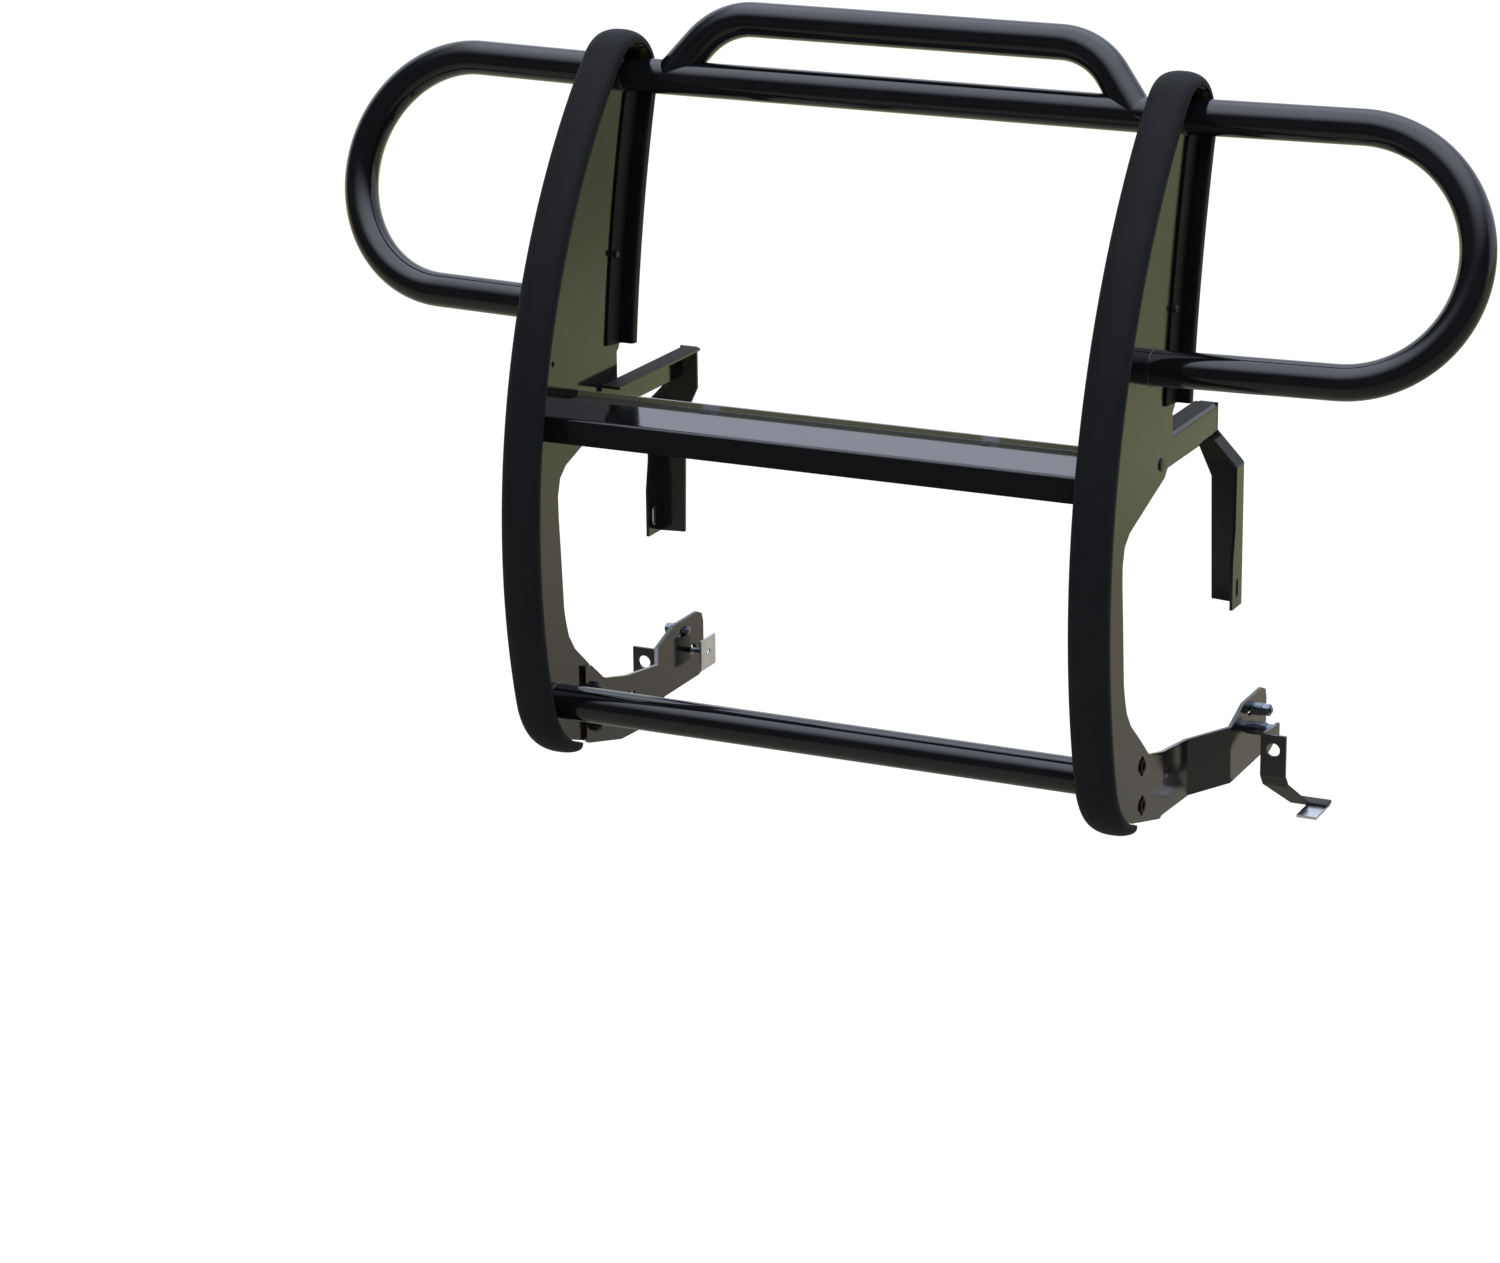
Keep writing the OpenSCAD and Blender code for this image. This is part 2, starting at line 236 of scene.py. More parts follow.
eye = bpy.data.cameras.new("front_right_camera")
eye.lens = 100
eye.sensor_width = 36
eye.shift_x = -0.1133
eye.shift_y = -0.141
eye.clip_end = 100
look_down, look_aside = 14.84, 23.6
camera = bpy.data.objects.new("front_right_camera", eye)
scene.collection.objects.link(camera)
camera.location = (2.0548, -4.8279, 1.7316)
camera.rotation_euler = (math.radians(90 - look_down), 0, math.radians(look_aside))
scene.camera = camera

# --- Upright plates ----------------------------------------------------------------------
# Two flat plates of 6 mm steel, cut to a long curve in front with a curl over the top tube
# and a toe below, bolted holes and slots cut through, edges broken, powder coated gloss black.


def coat(name, roughness, peel=0.02, tint=(0.0045, 0.0045, 0.005)):
    """Black powder coat: an even dark colour, a slight orange peel, a little dust on it."""
    made = Finish(bpy.data.materials.new(name))
    where = made.place()
    dust = made.noise(where, 5.0, 4.0, 0.6).step(0.45, 0.75)
    made.set("Base Color", made.blend(dust, tint, tuple(c * 1.6 + 0.001 for c in tint)))
    made.set("Roughness", made.noise(where, 38.0) * 0.04 + (roughness - 0.02) + dust * 0.03)
    made.bump(made.noise(where, 420.0, 1.0), peel, 0.0004)
    return made


def dress(piece, finish, slot, *replaced):
    """Give a piece its finish, its body and the CAD nodes that it stands for."""
    piece.data.materials.clear()
    piece.data.materials.append(finish.holder)
    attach(piece, "root")
    if replaced:
        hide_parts(*replaced)


def alone(piece):
    """Leave edit mode and select one piece and nothing else."""
    if bpy.context.mode != "OBJECT":
        bpy.ops.object.mode_set(mode="OBJECT")
    bpy.ops.object.select_all(action="DESELECT")
    bpy.context.view_layer.objects.active = piece
    piece.select_set(True)


def pick(piece, kind, chosen):
    """Select in edit mode the corners, edges or faces for which chosen(part) is true."""
    alone(piece)
    bpy.ops.object.mode_set(mode="EDIT")
    bpy.ops.mesh.select_mode(type=kind)
    bpy.ops.mesh.select_all(action="DESELECT")
    mesh = bmesh.from_edit_mesh(piece.data)
    for part in {"VERT": mesh.verts, "EDGE": mesh.edges, "FACE": mesh.faces}[kind]:
        if chosen(part):
            part.select_set(True)
    bmesh.update_edit_mesh(piece.data)


def stands(part, near=0.0005, **spot):
    """True where all corners of a part have the given x, y or z."""
    corners = [part] if isinstance(part, bmesh.types.BMVert) else part.verts
    return all(abs(getattr(corner.co, axis) - value) < near
               for corner in corners for axis, value in spot.items())


def apply_modifier(piece, kind, **settings):
    """Give a piece a modifier with its settings and apply it."""
    made = piece.modifiers.new(kind.lower(), kind)
    for key, value in settings.items():
        setattr(made, key, value)
    alone(piece)
    bpy.ops.object.modifier_apply(modifier=made.name)


def level(piece, angle=35):
    """Smooth shading up to an angle, which leaves the large flat faces flat."""
    alone(piece)
    bpy.ops.object.shade_smooth_by_angle(angle=math.radians(angle))
    apply_modifier(piece, "WEIGHTED_NORMAL", weight=100, keep_sharp=True)


def eased(node, name, width=0.0007, folds=(), radius=0.004, smooth=35):
    """A copy of a CAD node, merged, with its folds and then all its edges rounded."""
    fold_near = 0.0012
    piece = bpy.data.objects.new(name, nodes[node].data.copy())
    scene.collection.objects.link(piece)
    alone(piece)
    bpy.ops.object.mode_set(mode="EDIT")
    bpy.ops.mesh.select_all(action="SELECT")
    bpy.ops.mesh.remove_doubles(threshold=0.00002)
    bpy.ops.mesh.dissolve_limited(angle_limit=math.radians(0.5))
    for fold in folds:
        pick(piece, "EDGE", lambda edge: stands(edge, fold_near, **fold))
        bpy.ops.mesh.bevel(offset=radius, segments=4)
    bpy.ops.object.mode_set(mode="OBJECT")
    apply_modifier(piece, "BEVEL", width=width, segments=2, limit_method="ANGLE",
                   angle_limit=math.radians(38))
    level(piece, smooth)
    return piece


plate_coat = coat("plate_gloss_coat", 0.10)
for side in ("left", "right"):
    dress(eased(f"upright_plate_{side}", f"plate_{side}"), plate_coat, "gloss_black",
          f"upright_plate_{side}")

# --- Front strips ------------------------------------------------------------------------
# A 3 mm steel strip welded along the front edge of each plate, which carries the rubber
# face. Only its back can be seen, beside the plate.
for side in ("left", "right"):
    dress(nodes[f"front_spine_{side}"], plate_coat, "gloss_black")

# --- Rubber faces ------------------------------------------------------------------------
# One moulded rubber strip on each upright, D-shaped, pressed over the edges of the steel
# strip from behind the top tube down round the toe. Matte, with a fine moulded grain.
face_x = 0.377
face_wide = 0.052
face_high = 0.016
crown_high = 0.012
lip_wide = 0.0022
lip_deep = 0.0034
front_centre, front_radius = Vector((0.329, 0.252)), 0.820
toe_radius, curl_radius = 0.100, 0.051
toe_end, toe_start, curl_start, curl_end = -76.0, -14.5, 45.0, 160.0


def outward(angle):
    """The way out of the front curve, as y and z, at so many degrees above level."""
    return Vector((-math.cos(math.radians(angle)), math.sin(math.radians(angle))))


toe_centre = front_centre + (front_radius - toe_radius) * outward(toe_start)
curl_centre = front_centre + (front_radius - curl_radius) * outward(curl_start)


def section_at(piece, centre, radius, angle, x):
    """Stand a flat section up on a sweep: its Y outwards, its X along the guard's width."""
    turn = math.radians(180 - angle)
    piece.matrix_world = (Matrix.Translation((x, centre[0], centre[1]))
                          @ Matrix.Rotation(turn, 4, "X") @ Matrix.Translation((0, radius, 0)))
    alone(piece)
    bpy.ops.object.transform_apply(location=True, rotation=True, scale=True)


def done(piece, angle=35):
    """Leave edit mode with faces outwards and smooth shading up to an angle."""
    alone(piece)
    bpy.ops.object.mode_set(mode="EDIT")
    bpy.ops.mesh.select_all(action="SELECT")
    bpy.ops.mesh.normals_make_consistent(inside=False)
    bpy.ops.object.mode_set(mode="OBJECT")
    bpy.ops.object.shade_smooth_by_angle(angle=math.radians(angle))


def flat(wide, deep, name):
    """A flat sheet about the origin, wide along X and deep along Y."""
    bpy.ops.object.select_all(action="DESELECT")
    bpy.ops.mesh.primitive_plane_add(size=1)
    piece = bpy.context.object
    piece.name = name
    piece.scale = (wide, deep, 1)
    bpy.ops.object.transform_apply(location=True, rotation=True, scale=True)
    return piece


def part_edge(piece, y, places):
    """Cut the long edge at y at the given places along X."""
    pick(piece, "EDGE", lambda edge: stands(edge, 0.00001, y=y)
         and abs(edge.verts[0].co.x - edge.verts[1].co.x) > 0.01)
    ends = {v.index for e in bmesh.from_edit_mesh(piece.data).edges if e.select for v in e.verts}
    bpy.ops.mesh.subdivide(number_cuts=len(places))
    mesh = bmesh.from_edit_mesh(piece.data)
    fresh = sorted((v for v in mesh.verts if v.select and v.index not in ends),
                   key=lambda v: v.co.x)
    for corner, x in zip(fresh, places):
        corner.co.x = x
    bmesh.update_edit_mesh(piece.data)


def twin(piece, name):
    """The mirror image of a right-hand piece, with its own mesh."""
    mesh = piece.data.copy()
    mesh.transform(Matrix.Scale(-1, 4, (1, 0, 0)))
    other = bpy.data.objects.new(name, mesh)
    scene.collection.objects.link(other)
    done(other)
    return other


rubber = Finish(bpy.data.materials.new("matte_moulded_rubber"), Specular_IOR_Level=0.18)
where = rubber.place()
bloom = rubber.noise(where, 9.0, 5.0, 0.62).step(0.42, 0.78)
rubber.set("Base Color", rubber.blend(bloom, (0.0048, 0.0050, 0.0059), (0.0070, 0.0073, 0.0083)))
rubber.set("Roughness", rubber.noise(where, 60.0) * 0.12 + 0.60)
rubber.bump(rubber.noise(where, 1100.0, 2.0) + bloom * 0.2, 0.22, 0.0005)

edge_left = 0.0004
pad = flat(face_wide, 2 * crown_high, "rubber_face_right")
pick(pad, "VERT", lambda corner: corner.co.y > 0)
bpy.ops.mesh.bevel(offset=2 * crown_high - edge_left, segments=10, affect="VERTICES")
bpy.ops.mesh.select_all(action="SELECT")
bpy.ops.transform.resize(value=(1, 0.5, 1), center_override=(0, 0, 0))
bpy.ops.transform.translate(value=(0, face_high - crown_high / 2, 0))
part_edge(pad, face_high - crown_high, (lip_wide - face_wide / 2, face_wide / 2 - lip_wide))
pick(pad, "EDGE", lambda edge: stands(edge, 0.0001, y=face_high - crown_high)
     and abs(edge.verts[0].co.x - edge.verts[1].co.x) < 0.01)
bpy.ops.mesh.extrude_region_move(TRANSFORM_OT_translate={"value": (0, -lip_deep, 0)})
bpy.ops.object.mode_set(mode="OBJECT")
section_at(pad, toe_centre, toe_radius, toe_end, face_x)
bpy.ops.object.mode_set(mode="EDIT")
bpy.ops.mesh.select_mode(type="FACE")
bpy.ops.mesh.select_all(action="SELECT")
for centre, start, end, steps in ((toe_centre, toe_end, toe_start, 22),
                                  (front_centre, toe_start, curl_start, 64),
                                  (curl_centre, curl_start, curl_end, 40)):
    bpy.ops.mesh.spin(steps=steps, angle=math.radians(end - start),
                      center=(face_x, *centre), axis=(1, 0, 0))
# the toe end is moulded round
tip_radius = toe_radius + 0.006
tip_near = 0.03
tip_way = Vector((0, *outward(toe_end - 90)))
tip_spot = Vector((face_x, *(toe_centre + tip_radius * outward(toe_end))))
for ahead, share in ((0.0016, 0.97), (0.0014, 0.92), (0.0010, 0.84), (0.0006, 0.72)):
    pick(pad, "FACE", lambda face: abs(face.normal.dot(tip_way)) > 0.98
         and (face.calc_center_median() - tip_spot).length < tip_near)
    bpy.ops.mesh.extrude_region_move(TRANSFORM_OT_translate={"value": tip_way * ahead})
    tip_spot += tip_way * ahead
    bpy.ops.transform.resize(value=(share, share, share), center_override=tip_spot)
done(pad, 40)
dress(pad, rubber, "pad_rubber", "front_pad_right")
dress(twin(pad, "rubber_face_left"), rubber, "pad_rubber", "front_pad_left")

# --- Rear trims --------------------------------------------------------------------------
# An extruded rubber channel pushed over the rear edge of each plate, with a wide rounded
# bead behind it and a leg on each face of the plate. It follows the edge's long curve.
trim_x = 0.379
bead_wide = 0.043
bead_deep = 0.019
leg_long = 0.039
leg_in, leg_out = 0.003, 0.006
rear_centre, rear_radius = (1.423, 0.286), 1.6587
rear_start, leg_end, bead_end = 6.0, 16.9, 17.6
legs_rear_y = -0.165

trim_rubber = Finish(bpy.data.materials.new("black_trim_rubber"), Specular_IOR_Level=0.14)
where = trim_rubber.place()
bloom = trim_rubber.noise(where, 14.0, 4.0, 0.6).step(0.4, 0.8)
trim_rubber.set("Base Color", trim_rubber.blend(bloom, (0.0024, 0.0024, 0.0028),
                                                (0.0042, 0.0042, 0.0048)))
trim_rubber.set("Roughness", bloom * 0.1 + 0.5)
trim_rubber.bump(trim_rubber.noise(where, 700.0, 2.0), 0.1, 0.0004)

trim = flat(bead_wide, bead_deep, "rear_trim_right_rubber")
pick(trim, "VERT", lambda corner: corner.co.y < 0)
bpy.ops.mesh.bevel(offset=0.0075, segments=7, affect="VERTICES")
pick(trim, "VERT", lambda corner: corner.co.y > bead_deep / 2 - 0.0001)
bpy.ops.mesh.bevel(offset=0.0032, segments=4, affect="VERTICES")
part_edge(trim, bead_deep / 2, (-leg_out, -leg_in, leg_in, leg_out))
pick(trim, "EDGE", lambda edge: stands(edge, 0.0001, y=bead_deep / 2)
     and leg_in < abs(edge.verts[0].co.x + edge.verts[1].co.x) / 2 < leg_out)
bpy.ops.mesh.extrude_region_move(TRANSFORM_OT_translate={"value": (0, leg_long, 0)})
bpy.ops.mesh.select_mode(type="VERT")
bpy.ops.mesh.bevel(offset=0.0011, segments=3, affect="VERTICES")
bpy.ops.mesh.select_all(action="SELECT")
bpy.ops.transform.translate(value=(0, -bead_deep / 2, 0))
bpy.ops.object.mode_set(mode="OBJECT")
section_at(trim, rear_centre, rear_radius, rear_start, trim_x)
bpy.ops.object.mode_set(mode="EDIT")
bpy.ops.mesh.select_mode(type="FACE")
bpy.ops.mesh.select_all(action="SELECT")
bpy.ops.mesh.spin(steps=36, angle=math.radians(leg_end - rear_start),
                  center=(trim_x, *rear_centre), axis=(1, 0, 0))
# only the bead goes on behind the tubes
mesh = bmesh.from_edit_mesh(trim.data)
for face in mesh.faces:
    if face.select and max(corner.co.y for corner in face.verts) < legs_rear_y:
        face.select_set(False)
bmesh.update_edit_mesh(trim.data)
bpy.ops.mesh.spin(steps=3, angle=math.radians(bead_end - leg_end),
                  center=(trim_x, *rear_centre), axis=(1, 0, 0))
done(trim, 40)
dress(trim, trim_rubber, "trim_rubber", "rear_trim_right")
dress(twin(trim, "rear_trim_left_rubber"), trim_rubber, "trim_rubber", "rear_trim_left")

# --- Trim screws and nuts ----------------------------------------------------------------
# One button-headed M5 screw through each trim and plate, its head outboard and a plain hex
# nut inboard, both black oxide steel.
oxide = Finish(bpy.data.materials.new("black_oxide_steel"), Metallic=0.6)
where = oxide.place()
film = oxide.noise(where, 160.0, 3.0, 0.6)
oxide.set("Base Color", oxide.ramp(film, (0.3, (0.010, 0.011, 0.013)),
                                   (0.75, (0.030, 0.032, 0.036))))
oxide.set("Roughness", film * 0.15 + 0.22)
oxide.bump(film, 0.08, 0.0002)


def span(node, axis):
    """Where a CAD node begins and ends along an axis, to a thousandth of a millimetre."""
    places = [getattr(corner.co, axis) for corner in nodes[node].data.vertices]
    return round(min(places), 6), round(max(places), 6)


def middle(node):
    """The middle of a CAD node, as y and z."""
    return tuple(round(sum(span(node, axis)) / 2, 6) for axis in "yz")


def round_bar(name, x, spot, radius, long, corners=32):
    """A round bar along X that starts at x."""
    bpy.ops.object.select_all(action="DESELECT")
    bpy.ops.mesh.primitive_cylinder_add(vertices=corners, radius=radius, depth=long,
                                        location=(x + long / 2, *spot),
                                        rotation=(0, math.pi / 2, 0))
    piece = bpy.context.object
    piece.name = name
    bpy.ops.object.transform_apply(location=True, rotation=True, scale=True)
    return piece


def rim(piece, x, offset, segments=2):
    """Break the round edge at x."""
    pick(piece, "EDGE", lambda edge: stands(edge, 0.00005, x=x))
    bpy.ops.mesh.bevel(offset=offset, segments=segments)
    bpy.ops.object.mode_set(mode="OBJECT")


def hexagon(name, x, spot, corner, thick):
    """A hexagon along X from x, its corners cut back by a turned chamfer on both faces."""
    piece = round_bar(name, x, spot, corner, thick, 6)
    piece.data.transform(Matrix.Translation((0, *spot)) @ Matrix.Rotation(math.pi / 6, 4, "X")
                         @ Matrix.Translation((0, -spot[0], -spot[1])))
    turned = round_bar(name + "_chamfer", x, spot, corner, thick, 48)
    for face_at in (x, x + thick):
        rim(turned, face_at, corner * 0.11, 1)
    apply_modifier(piece, "BOOLEAN", operation="INTERSECT", object=turned, solver="EXACT")
    bpy.data.objects.remove(turned)
    return piece


def joined(name, *pieces):
    """One piece of several, with its own name."""
    alone(pieces[0])
    for piece in pieces:
        piece.select_set(True)
    bpy.ops.object.join()
    whole = bpy.context.object
    whole.name = name
    return whole


def both_sides(name, *pieces):
    """Right-hand parts and their mirror images as one piece."""
    whole = joined(name, *pieces)
    return joined(name, whole, twin(whole, name + "_mirrored"))


screw_spot = middle("trim_screws")
head_seat, head_top = 0.3845, 0.3890
head = round_bar("screw_head", head_seat, screw_spot, 0.005, head_top - head_seat, 40)
rim(head, head_top, 0.0024, 4)
pick(head, "FACE", lambda face: stands(face, 0.00005, x=head_top))
bpy.ops.mesh.inset(thickness=0.0006)
bpy.ops.mesh.extrude_region_move(TRANSFORM_OT_translate={"value": (-0.0015, 0, 0)})
bpy.ops.object.mode_set(mode="OBJECT")
shank = round_bar("screw_shank", 0.3680, screw_spot, 0.0025, 0.0168, 20)
screws = both_sides("trim_button_screws", head, shank)
done(screws, 30)
dress(screws, oxide, "black_fastener", "trim_screws")
trim_nut = both_sides("trim_hex_nuts", hexagon("trim_hex", 0.3679, screw_spot, 0.0046, 0.0040))
done(trim_nut, 30)
dress(trim_nut, oxide, "black_fastener", "trim_nuts")

# --- Cross tubes -------------------------------------------------------------------------
# Two straight 44.5 mm steel tubes between the plates, coped flat and welded all round. The
# weld is a small rippled fillet where tube and plate meet.
tube_coat = coat("tube_gloss_coat", 0.075, 0.012)
tube_low, tube_high = span("lower_cross_tube", "z")
tube_radius = (tube_high - tube_low) / 2
plate_in, plate_out = span("upright_plate_right", "x")


def weld(name, x, spot, bead=0.0016):
    """A rippled fillet round a tube at x, on the plate's face."""
    bpy.ops.object.select_all(action="DESELECT")
    bpy.ops.mesh.primitive_torus_add(major_radius=tube_radius, minor_radius=bead,
                                     major_segments=96, minor_segments=8,
                                     location=(x, *spot), rotation=(0, math.pi / 2, 0))
    piece = bpy.context.object
    piece.name = name
    bpy.ops.object.transform_apply(location=True, rotation=True, scale=True)
    pick(piece, "VERT", lambda corner: round(math.degrees(math.atan2(
        corner.co.z - spot[1], corner.co.y - spot[0])) / 3.75) % 3 == 0)
    bpy.ops.transform.resize(value=(1.0, 0.985, 0.985), center_override=(x, *spot))
    bpy.ops.object.mode_set(mode="OBJECT")
    done(piece, 60)
    return piece


for node, name in (("top_cross_tube", "top_tube_welds"), ("lower_cross_tube", "lower_tube_welds")):
    dress(nodes[node], tube_coat, "gloss_black")
    dress(both_sides(name, weld(name, plate_in, middle(node))), plate_coat, "gloss_black")

# --- Top hoop ----------------------------------------------------------------------------
# One length of the same tube, bent twice, leaning back with the grille, its two feet coped
# over the top tube and welded.
dress(nodes["top_hoop"], tube_coat, "gloss_black")

# --- Side loops --------------------------------------------------------------------------
# One length of tube on each side, bent through half a turn round the headlamp and swept a
# little rearwards, both ends welded to the outer face of the plate.
loop_middle = Vector((0, -0.250, 0.663))
loop_half = 0.1525
loop_tilt = math.radians(20.9)
for side in ("left", "right"):
    dress(nodes[f"side_loop_{side}"], tube_coat, "gloss_black")
ends = []
for name, half in (("upper_loop_weld", loop_half), ("lower_loop_weld", -loop_half)):
    spot = loop_middle + half * Vector((0, math.sin(loop_tilt), math.cos(loop_tilt)))
    ends.append(weld(name, plate_out, (spot.y, spot.z)))
dress(both_sides("side_loop_welds", *ends), plate_coat, "gloss_black")

# --- Light crossbar ----------------------------------------------------------------------
# One sheet of 4 mm steel between the plates, its front edge folded down over a soft radius
# and its rear edge turned up as a low lip. Two lamp bolt holes near the lip.
bar_sheet = 0.004
bar_top = 0.417
bar_front, bar_rear = -0.450, -0.342
front_down, lip_up = -0.033, 0.0065
front_fold, lip_fold = 0.0045, 0.0012
lamp_x, lamp_y, lamp_radius = 0.1885, -0.358, 0.00525
bar_coat = coat("crossbar_gloss_coat", 0.085)
where = bar_coat.place()
# mask of the lip's upper part, which carries a painted olive reflection
lip = bar_coat.along(where, "Y").step(bar_rear - 0.0004, bar_rear - 0.0001) * (
    bar_coat.along(where, "Z").step(bar_top + 0.0006, bar_top + 0.0012))
# mask of the rear band of the sheet, which carries a painted reflection
strip = bar_coat.along(where, "Y").step(bar_rear - 0.026, bar_rear - 0.022)
off_hole = bar_coat.along(where, "X") * bar_coat.along(where, "X") - lamp_x ** 2
# pale bluish-grey spots painted on the lip at each lamp hole
pale_lamp_spots = lip * (1 - (off_hole * off_hole).step(0.000006, 0.000030))
# painted reflection: the rear band of the sheet is painted a lighter grey than the coat
tint = bar_coat.blend(strip, (0.0045, 0.0045, 0.005), (0.045, 0.046, 0.042))
# painted reflection: the lip's upper part is painted olive
tint = bar_coat.blend(lip, tint, (0.11, 0.114, 0.07))
bar_coat.set("Base Color", bar_coat.blend(pale_lamp_spots, tint, (0.2, 0.2, 0.24)))

bar = flat(2 * plate_in, bar_rear - bar_front, "folded_crossbar")
bar.data.transform(Matrix.Translation((0, (bar_front + bar_rear) / 2, bar_top)))
for y, turned in ((bar_front, front_down), (bar_rear, lip_up)):
    pick(bar, "EDGE", lambda edge: stands(edge, 0.0001, y=y, z=bar_top))
    bpy.ops.mesh.extrude_region_move(TRANSFORM_OT_translate={"value": (0, 0, turned)})
for y, soft in ((bar_front, front_fold), (bar_rear, lip_fold)):
    pick(bar, "EDGE", lambda edge: stands(edge, 0.0001, y=y, z=bar_top))
    bpy.ops.mesh.bevel(offset=soft, segments=6)
done(bar, 35)
if sum(face.normal.z * face.area for face in bar.data.polygons) < 0:
    bar.data.flip_normals()
apply_modifier(bar, "SOLIDIFY", thickness=bar_sheet, offset=-1, use_even_offset=True)
for x in (-lamp_x, lamp_x):
    bpy.ops.object.select_all(action="DESELECT")
    bpy.ops.mesh.primitive_cylinder_add(vertices=40, radius=lamp_radius, depth=0.03,
                                        location=(x, lamp_y, bar_top))
    drill = bpy.context.object
    apply_modifier(bar, "BOOLEAN", operation="DIFFERENCE", object=drill, solver="EXACT")
    bpy.data.objects.remove(drill)
apply_modifier(bar, "BEVEL", width=0.0005, segments=2, limit_method="ANGLE",
               angle_limit=math.radians(50))
level(bar)
dress(bar, bar_coat, "gloss_black", "light_crossbar")

# --- Support arms ------------------------------------------------------------------------
# An angle of 4 mm steel on each side from the plate back to the drop bracket, its top leg
# folded inboard over a soft radius. A low round-headed bolt and a hex nut clamp it to the plate.
arm_gloss, arm_top = 0.10, 0.417
# colour of a dim fixed glow that paints shade on the arms' tops and the drop brackets' upper parts
painted_shade_tone = (0.012, 0.012, 0.009)
arm_coat = coat("arm_gloss_coat", arm_gloss)
# painted shade: the top face of each arm is 60 % a dim fixed glow, so it stays dark
upper = arm_coat.along(arm_coat.place(), "Z").step(arm_top - 0.0010, arm_top - 0.0002)
arm_coat.set("Roughness", upper * 0.45 + arm_gloss)
arm_coat.glow(upper * 0.6, painted_shade_tone)
for side, x in (("left", -plate_in), ("right", plate_in)):
    dress(eased(f"support_arm_{side}", f"angle_arm_{side}", 0.0005,
                ({"x": x, "z": arm_top},), 0.006),
          arm_coat, "gloss_black", f"support_arm_{side}")

arm_spot = middle("arm_bolts")
bolt_end = 0.358
bolt_head = round_bar("arm_bolt_head", plate_out, arm_spot, 0.0084, 0.002, 48)
rim(bolt_head, plate_out + 0.002, 0.0012, 3)
bolt_shank = round_bar("arm_bolt_shank", bolt_end, arm_spot, 0.006, 0.0242)
rim(bolt_shank, bolt_end, 0.001, 2)
arm_bolts = both_sides("arm_round_head_bolts", bolt_head, bolt_shank)
done(arm_bolts, 30)
dress(arm_bolts, oxide, "black_fastener", "arm_bolts")
arm_nuts = both_sides("arm_hex_nuts", hexagon("arm_nut", 0.362, arm_spot, 0.0104, 0.010))
done(arm_nuts, 30)
dress(arm_nuts, oxide, "black_fastener", "arm_nuts")

# --- Drop brackets -----------------------------------------------------------------------
# A 4 mm steel angle below the end of each arm, stepped outboard, its outer flange folded
# forwards and slotted for the vehicle's own bolt. Satin black coat.
drop_coat = coat("drop_bracket_coat", 0.13, 0.03)
# painted shade: the bracket above 0.343 m is 60 % a dim fixed glow, so it stays dark
painted_shade_slope = drop_coat.along(drop_coat.place(), "Z").step(0.341, 0.345)
drop_coat.glow(painted_shade_slope * 0.6, painted_shade_tone)
drop_x, drop_y = 0.413, -0.052
for side, x in (("left", -drop_x), ("right", drop_x)):
    dress(eased(f"drop_bracket_{side}", f"slotted_drop_bracket_{side}", 0.0005,
                ({"x": x, "y": drop_y},), 0.0038),
          drop_coat, "satin_black", f"drop_bracket_{side}")

# --- Frame brackets ----------------------------------------------------------------------
# A 5 mm steel bracket bolted to the inboard face of each plate's toe, joggled outboard to
# the vehicle's frame, where a slot and a round hole take the frame bolts.
bracket_coat = coat("frame_bracket_coat", 0.11)
for side in ("left", "right"):
    dress(eased(f"frame_bracket_{side}", f"joggled_bracket_{side}", 0.0006, smooth=8),
          bracket_coat, "gloss_black", f"frame_bracket_{side}")

toe_spots = ((-0.323, 0.024), (-0.322, -0.027))
toe_end_x = 0.360
parts = []
for spot in toe_spots:
    parts.append(hexagon("toe_head", toe_end_x + 0.004, spot, 0.0085, 0.007))
    shank = round_bar("toe_shank", toe_end_x, spot, 0.005, 0.022)
    rim(shank, toe_end_x, 0.0009, 2)
    parts.append(shank)
toe_bolts = both_sides("toe_hex_bolts", *parts)
done(toe_bolts, 30)
dress(toe_bolts, oxide, "black_fastener", "plate_bolts")

# the flanged nuts have a duller oxide than the bolts
dull_oxide = Finish(bpy.data.materials.new("dull_black_oxide"), Metallic=0.3,
                    Specular_IOR_Level=0.14)
film = dull_oxide.noise(dull_oxide.place(), 160.0, 3.0, 0.6).step(0.4, 0.8)
dull_oxide.set("Base Color",
               dull_oxide.blend(film, (0.0024, 0.0024, 0.0028), (0.0042, 0.0042, 0.0048)))
dull_oxide.set("Roughness", film * 0.1 + 0.45)
dull_oxide.bump(film, 0.06, 0.0002)
dress(nodes["plate_nuts"], dull_oxide, "black_fastener")

# --- Zinc hardware -----------------------------------------------------------------------
# Two zinc plated studs at the rear end of each bracket, with round spacers and hex nuts
# outboard, and a thin square keeper plate inboard of the lower stud.
zinc = Finish(bpy.data.materials.new("bright_zinc_plate"), Metallic=1.0)
where = zinc.place()
cloud = zinc.noise(where, 90.0, 4.0, 0.65)
zinc.set("Base Color", zinc.ramp(cloud, (0.3, (0.50, 0.52, 0.56)), (0.7, (0.66, 0.67, 0.70))))
zinc.set("Roughness", cloud * 0.2 + 0.24)
zinc.bump(zinc.noise(where, 600.0, 2.0), 0.06, 0.0002)

dull_zinc = Finish(bpy.data.materials.new("blue_zinc_thread"), Metallic=1.0)
where = dull_zinc.place()
cloud = dull_zinc.noise(where, 120.0, 4.0, 0.65)
dull_zinc.set("Base Color", dull_zinc.ramp(cloud, (0.3, (0.10, 0.115, 0.14)),
                                           (0.7, (0.20, 0.22, 0.26))))
dull_zinc.set("Roughness", cloud * 0.2 + 0.25)
dull_zinc.bump(cloud, 0.06, 0.0002)

stud_spots = ((0.007, 0.0), (0.024, -0.033))


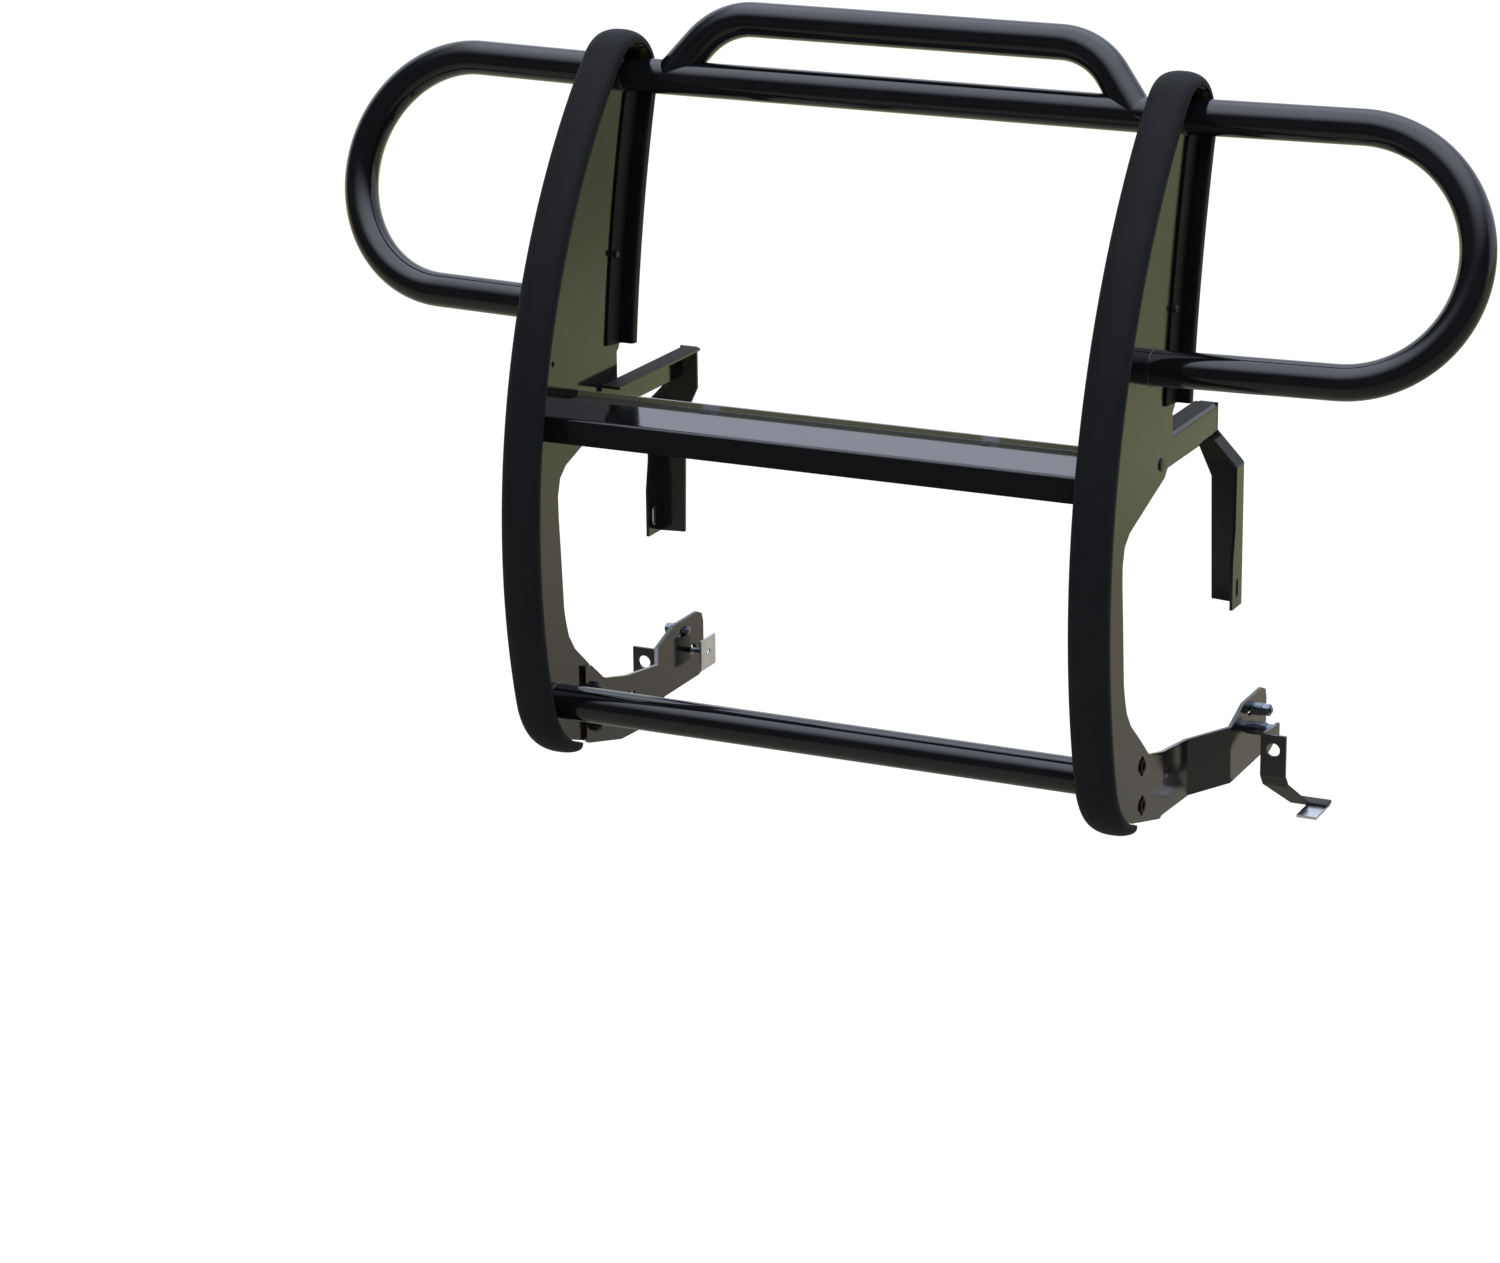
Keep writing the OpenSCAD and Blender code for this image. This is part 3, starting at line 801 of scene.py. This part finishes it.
def threaded(name, x, spot, radius, long, pitch=0.00125):
    """A threaded bar along X from x: a round bar with a ring cut in at every turn."""
    turns = int(long / pitch)
    bar = round_bar(name, x, spot, radius, long, 20)
    pick(bar, "EDGE", lambda edge: abs(edge.verts[0].co.x - edge.verts[1].co.x) > long * 0.9)
    bpy.ops.mesh.subdivide(number_cuts=2 * turns - 1)
    step = long / (2 * turns)
    pick(bar, "VERT", lambda corner: round((corner.co.x - x) / step) % 2 == 0)
    bpy.ops.transform.resize(value=(1, 0.87, 0.87), center_override=(x, *spot))
    bpy.ops.object.mode_set(mode="OBJECT")
    return bar


studs = [threaded("upper_stud", 0.3995, stud_spots[0], 0.004, 0.037),
         hexagon("upper_stud_head", 0.4005, stud_spots[0], 0.0065, 0.005),
         threaded("lower_stud", 0.3875, stud_spots[1], 0.004, 0.0505)]
frame_studs = both_sides("threaded_frame_studs", *studs)
done(frame_studs, 30)
dress(frame_studs, dull_zinc, "zinc", "frame_studs")
frame_nuts = both_sides("frame_hex_nuts", *[hexagon("frame_nut", 0.424, spot, 0.0082, 0.010)
                                            for spot in stud_spots])
done(frame_nuts, 30)
dress(frame_nuts, dull_zinc, "zinc", "frame_nuts")
dress(nodes["stud_spacers"], dull_zinc, "zinc")
for side in ("left", "right"):
    dress(eased(f"bolt_plate_{side}", f"square_keeper_{side}", 0.0004), zinc, "zinc",
          f"bolt_plate_{side}")

# --- Straps ------------------------------------------------------------------------------
# A stepped strap of 4 mm steel on the end of each lower stud: an ear, an upright face with a
# large hole, a long slope and a short foot that rests on a zinc plate.
strap_gloss = 0.2
strap_coat = coat("strap_satin_coat", strap_gloss, 0.04, (0.006, 0.006, 0.006))
slope = 1 - strap_coat.along(strap_coat.place(), "Z").step(-0.079, -0.075)
strap_coat.set("Roughness", slope * 0.45 + strap_gloss)
strap_fold = {"y": -0.030, "z": -0.076}
for side in ("left", "right"):
    dress(eased(f"strap_{side}", f"stepped_strap_{side}", 0.0004, (strap_fold,), 0.0015, 12),
          strap_coat, "satin_black", f"strap_{side}")
dress(eased("foot_plates", "zinc_foot_plates", 0.0005), zinc, "zinc", "foot_plates")
